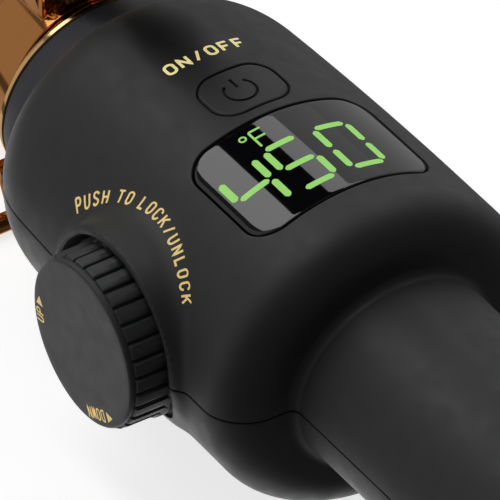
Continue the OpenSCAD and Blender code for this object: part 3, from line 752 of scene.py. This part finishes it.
def stroke_points(path, half, thickness):
    """A flat stroke of even width along a path: points (across, up, out) and faces."""
    path = np.array(finer(path))
    closed = np.allclose(path[0], path[-1])
    step = np.diff(path, axis=0)
    step /= np.linalg.norm(step, axis=1)[:, None]
    before = np.vstack([step[-1:] if closed else step[:1], step])
    after = np.vstack([step, step[:1] if closed else step[-1:]])
    side = np.stack([-(before + after)[:, 1], (before + after)[:, 0]], 1)
    side /= np.linalg.norm(side, axis=1)[:, None]
    square = np.stack([-before[:, 1], before[:, 0]], 1)
    mitre = half / np.maximum((side * square).sum(1), 0.6)
    left, right = path + side * mitre[:, None], path - side * mitre[:, None]
    count = len(path)
    rows = [np.column_stack([edge, np.full(count, out)]) for edge, out in
            ((left, thickness), (left, -thickness), (right, -thickness), (right, thickness))]
    points = np.stack(rows, 1).reshape(-1, 3)
    faces = grid_faces(count, 4, closed=True)
    if not closed:
        faces += [(0, 1, 2, 3), (4 * count - 4, 4 * count - 1, 4 * count - 2, 4 * count - 3)]
    return points, faces


def text_points(text, height, width, pitch, stroke, thickness=0.03):
    """A line of lettering: points (across, up, out) and faces, with its middle at the
    origin. Letters are width wide and stand pitch apart."""
    starts = np.cumsum([0] + [pitch * (0.6 if c == " " else 1) for c in text])
    middle = (starts[-2] if text[-1] != " " else starts[-1]) / 2
    parts = []
    for letter, start in zip(text, starts):
        for path in GLYPHS.get(letter, []):
            drawn = [(x * (width - stroke) / 0.8 + start - middle,
                      (y - 0.5) * (height - stroke)) for x, y in path]
            parts.append(stroke_points(drawn, stroke / 2, thickness))
    return join_parts(parts)


def bar_points(outline, thickness=0.03):
    """A flat outline as a closed plate: points (across, up, out) and faces."""
    count = len(outline)
    low = [(a, b, -thickness) for a, b in outline]
    high = [(a, b, thickness) for a, b in outline]
    faces = [tuple(range(count))[::-1], tuple(range(count, 2 * count))]
    faces += [(i, (i + 1) % count, count + (i + 1) % count, count + i) for i in range(count)]
    return np.array(low + high), faces


def on_top(points, x0, y0, lift=0.012):
    """Lays (across, up, out) points on the top skin: up runs towards the barrel."""
    x, y = x0 + points[:, 1], y0 - points[:, 0]
    z = top_height(x, y)
    slope = np.stack([np.zeros(len(x)), y / oval_at(y) ** 2, z], 1)
    slope /= np.linalg.norm(slope, axis=1)[:, None]
    return np.stack([x, y, z], 1) + slope * (points[:, 2:3] + lift)


def join_parts(parts):
    points, faces, start = [], [], 0
    for p, f in parts:
        points.append(p)
        faces += [tuple(i + start for i in face) for face in f]
        start += len(p)
    return np.concatenate(points), faces


def segment_points(a, b, half, taper, thickness=0.03):
    """A read-out segment from a to b, tapered at both ends: points (across, up, out) and
    faces."""
    a, b = np.array(a, float), np.array(b, float)
    length = np.linalg.norm(b - a)
    along = (b - a) / length
    side = np.array([-along[1], along[0]])
    stations = np.concatenate([[0], np.linspace(taper, length - taper, 12), [length]])
    rows = []
    for t in stations:
        edge = half if taper <= t <= length - taper else half * 0.35
        spine = a + along * t
        rows.append([(*(spine + side * edge * s), out) for s, out in
                     ((1, thickness), (1, -thickness), (-1, -thickness), (-1, thickness))])
    points = np.array(rows).reshape(-1, 3)
    faces = grid_faces(len(stations), 4, closed=True)
    last = 4 * len(stations)
    faces += [(0, 1, 2, 3), (last - 4, last - 1, last - 2, last - 3)]
    return points, faces


def ring_points(outer, inner, thickness=0.03, steps=24):
    """A flat ring: points (across, up, out) and faces."""
    turn = np.linspace(0, 2 * math.pi, steps, endpoint=False)
    rows = []
    for radius, out in ((outer, -thickness), (outer, thickness), (inner, thickness),
                        (inner, -thickness), (outer, -thickness)):
        rows.append(np.stack([radius * np.cos(turn), radius * np.sin(turn),
                              np.full(steps, out)], 1))
    return np.concatenate(rows), grid_faces(5, steps, closed=True)


SEGMENTS = {"0": "abcdef", "4": "bcfg", "5": "acdfg"}
DIGIT_W, DIGIT_H, SEGMENT_HALF, SEGMENT_GAP, SEGMENT_TAPER = 5.4, 10.0, 0.5, 0.42, 0.4
DIGITS = (("4", 10.1), ("5", 2.75), ("0", -5.35))
READOUT_X = -8.3
# The small degree sign and F: half width of a stroke, and places along and across the tool.
UNIT_HALF, LETTER_PLACE, DEGREE_PLACE = 0.17, (-0.3, 4.95), (0.75, 6.2)


def make_readout():
    w, h = DIGIT_W / 2, DIGIT_H / 2
    ends = {"a": ((-w, h), (w, h)), "b": ((w, h), (w, 0)), "c": ((w, 0), (w, -h)),
            "d": ((w, -h), (-w, -h)), "e": ((-w, -h), (-w, 0)), "f": ((-w, 0), (-w, h)),
            "g": ((-w, 0), (w, 0))}
    parts = []
    for digit, y0 in DIGITS:
        for letter in SEGMENTS[digit]:
            a, b = (np.array(end, float) for end in ends[letter])
            along = (b - a) / np.linalg.norm(b - a) * SEGMENT_GAP
            points, faces = segment_points(a + along, b - along, SEGMENT_HALF, SEGMENT_TAPER)
            parts.append((on_top(points, READOUT_X, y0), faces))
    for a, b in (((0, 1.6), (1.9, 1.6)), ((0, 0), (1.8, 0)), ((0, -1.9), (0, 1.6))):
        points, faces = segment_points(a, b, UNIT_HALF, 0.1)
        parts.append((on_top(points, *LETTER_PLACE), faces))
    points, faces = ring_points(0.6, 0.34)
    parts.append((on_top(points, *DEGREE_PLACE), faces))
    points, faces = join_parts(parts)
    add_piece("display_readout", mesh_of("readout", points, faces), "root", "lit")


def make_top_legend():
    points, faces = text_points("ON/OFF", 2.4, 1.75, 2.25, 0.42)
    add_piece("legend_on_off", mesh_of("legend", on_top(points, 19.9, 0), faces), "root",
              "print_painted_brighter")


def drop_on(tree, x, z, out):
    """Points on a mesh seen from the dial's side, lifted by out along its normal."""
    placed = []
    for px, pz, lift in zip(x, z, out):
        origin = Vector(place((px, 60, pz))[0])
        spot, normal, _, _ = tree.ray_cast(origin, Vector((0, -1, 0)))
        spot = spot + normal * (lift * MM)
        placed.append((spot.x / MM, spot.y / MM, spot.z / MM - AXIS_Z))
    return np.array(placed)


# Arcs for the feet and the heads of the letters over the dial: centre as (x, z), radius, and
# first and last angle.
LETTER_ARCS = (((0.5, -1.9), 18.0, 38.0, 133.0), ((1.0, -4.4), 21.6, 44.0, 131.0))


def make_side_legend():
    """PUSH TO LOCK/UNLOCK, spread between the two letter arcs."""
    height = 2.0
    points, faces = text_points("PUSH TO LOCK/UNLOCK", height, 1.12, 1.62, 0.29)
    low, high = points[:, 0].min(), points[:, 0].max()
    along = (points[:, 0] - low) / (high - low)
    rise = (points[:, 1:2] + height / 2) / height
    ends = []
    for centre, radius, first, last in LETTER_ARCS:
        turn = np.radians(first + (last - first) * along)
        ends.append(np.stack([centre[0] + radius * np.cos(turn),
                              centre[1] + radius * np.sin(turn)], 1))
    flat = ends[0] * (1 - rise) + ends[1] * rise
    shell = bpy.data.objects["upper_shell_skin"]
    tree = BVHTree.FromObject(shell, bpy.context.evaluated_depsgraph_get())
    placed = drop_on(tree, flat[:, 0], flat[:, 1], points[:, 2] + 0.012)
    add_piece("legend_push_lock", mesh_of("legend", placed, faces), "root",
              "print")


def on_dial(points, angle_deg, radius):
    """Lays (across, up, out) points on the dial's face: up is outwards, across runs with the
    angle."""
    turn = math.radians(angle_deg)
    out = np.array([math.cos(turn), math.sin(turn)])
    across = np.array([-math.sin(turn), math.cos(turn)])
    flat = points[:, :1] * across + (points[:, 1:2] + radius) * out
    return np.stack([flat[:, 0], DIAL_FACE_Y + points[:, 2] - 0.01, flat[:, 1]], 1)


# UP and DOWN on the dial's face: angle from the front, and distance from the dial's axis.
UP_PLACE, DOWN_PLACE = (-4, 10.8), (-115, 10.5)


def make_dial_legends():
    parts = []
    size = (1.9, 1.0, 1.25, 0.25)
    points, faces = text_points("UP", *size)
    points[:, 0] -= 1.2
    parts.append((on_dial(points, *UP_PLACE), faces))
    points, faces = bar_points([(0.5, -0.8), (2.0, 0), (0.5, 0.8)])
    parts.append((on_dial(points, *UP_PLACE), faces))
    points, faces = text_points("DOWN", *size)
    points[:, 0] += 0.9
    parts.append((on_dial(points, *DOWN_PLACE), faces))
    points, faces = bar_points([(-2.2, -0.8), (-2.2, 0.8), (-3.7, 0)])
    parts.append((on_dial(points, *DOWN_PLACE), faces))
    points, faces = join_parts(parts)
    add_piece("legend_dial", mesh_of("legend", points, faces), "dial", "print")


# ---------------------------------------------------------------- CAD nodes that stay

DRESS = {
    "housing": ["handle_cap"],
    "tip": ["barrel_tip", "thumb_rest", "swivel_gland"],
    "gold": ["pivot_band", "clip_plate", "clip_lever", "stand_bail"],
    "steel": ["housing_screws", "tip_screw", "tip_anchor", "clip_pin", "clip_rivets",
              "clip_spring", "push_sleeve", "encoder_shaft", "dial_encoder",
              "swivel_washer", "thermal_fuse"],
    "aluminium": ["upper_spreader", "lower_spreader"],
    "ceramic": ["heater_plate"],
    "mica": ["base_insulator", "temperature_sensor"],
    "sleeving": ["heater_leads", "board_ribbon"],
    "brass": ["brush_contacts", "slip_rings"],
    "ivory": ["swivel_socket", "switch_plunger"],
    "board": ["control_board", "encoder_board", "power_board"],
    "black": ["display_bezel", "power_switch", "triac", "lcd_module"],
    "red": ["film_capacitor"],
}
# Width of the rounding on the edges of the nodes that stay.
EDGE = {"barrel_tip": 0.3, "thumb_rest": 0.7, "swivel_gland": 0.3, "handle_cap": 0.2}
COMMON_EDGE = 0.15


def dress_nodes():
    for material, names in DRESS.items():
        for name in names:
            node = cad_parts[name]
            node.data.materials.clear()
            node.data.materials.append(MATERIALS[material])
            shade(node.data, 30)
            weld = node.modifiers.new("weld", "WELD")
            weld.merge_threshold = 1e-6
            bevel = node.modifiers.new("bevel", "BEVEL")
            bevel.width = EDGE.get(name, COMMON_EDGE) * MM
            bevel.segments = 3
            bevel.limit_method = "ANGLE"
            bevel.angle_limit = math.radians(35)
            bevel.harden_normals = True


# ---------------------------------------------------------------- studio

def emitter(name, corners, strength):
    """A soft light panel, which lights and reflects but isn't seen itself."""
    mesh = bpy.data.meshes.new(name)
    mesh.from_pydata(corners, [], [(0, 1, 2, 3)])
    panel = bpy.data.objects.new(name, mesh)
    bpy.context.scene.collection.objects.link(panel)
    material = bpy.data.materials.new(name)
    material.use_nodes = True
    nodes = material.node_tree.nodes
    nodes.clear()
    glow = nodes.new("ShaderNodeEmission")
    glow.inputs["Strength"].default_value = strength
    output = nodes.new("ShaderNodeOutputMaterial")
    material.node_tree.links.new(glow.outputs["Emission"], output.inputs["Surface"])
    mesh.materials.append(material)
    panel.visible_camera = False


def overhead_strip(name, first, last, strength, reach=1.0, x0=-0.1, x1=2.0):
    """A long panel over the tool, between two angles from upright towards the dial side."""
    corners = []
    for angle, x in ((first, x0), (first, x1), (last, x1), (last, x0)):
        turn = math.radians(angle)
        corners.append((x, reach * math.sin(turn), reach * math.cos(turn) + AXIS_Z * MM))
    emitter(name, corners, strength)


# Panels round the tool: name, first and last angle from upright towards the dial, brightness.
STRIPS = (("panel_low_side", 165, 118, 0.55), ("panel_side", 105, 30, 0.5),
          ("panel_front", 22.2, 1.8, 2.45), ("panel_dark", 1.8, -22.3, 0.0),
          ("panel_mid", -22.3, -34.5, 1.75), ("panel_back", -34.5, -60, 0.6),
          ("panel_low_back", -60, -100, 0.5), ("panel_rim", -145, -200, 1.3))


AMBIENT = 0.10


def make_world():
    scene = bpy.context.scene
    scene.view_settings.view_transform = "Standard"
    world = bpy.data.worlds.new("studio")
    scene.world = world
    world.use_nodes = True
    background = world.node_tree.nodes["Background"]
    background.inputs["Color"].default_value = (1, 1, 1, 1)
    background.inputs["Strength"].default_value = AMBIENT


def make_floor(reach=6):
    """A plain pale floor that glows a little and casts nothing back on the tool."""
    mesh = bpy.data.meshes.new("floor")
    mesh.from_pydata([(-reach, -reach, 0), (reach, -reach, 0), (reach, reach, 0),
                      (-reach, reach, 0)], [], [(0, 1, 2, 3)])
    floor = bpy.data.objects.new("floor", mesh)
    bpy.context.scene.collection.objects.link(floor)
    material, _, _, shader = new_material("floor")
    shader.inputs["Base Color"].default_value = (0.6, 0.6, 0.6, 1)
    shader.inputs["Roughness"].default_value = 1.0
    shader.inputs["Specular IOR Level"].default_value = 0.0
    shader.inputs["Emission Color"].default_value = (1, 1, 1, 1)
    shader.inputs["Emission Strength"].default_value = 0.75
    mesh.materials.append(material)
    floor.visible_diffuse = False
    floor.visible_glossy = False
    floor.visible_shadow = False


make_shells()
make_window()
make_button()
make_dial()
make_barrel()
make_readout()
make_top_legend()
make_side_legend()
make_dial_legends()
dress_nodes()
make_world()
for strip in STRIPS:
    overhead_strip(*strip)
make_floor()
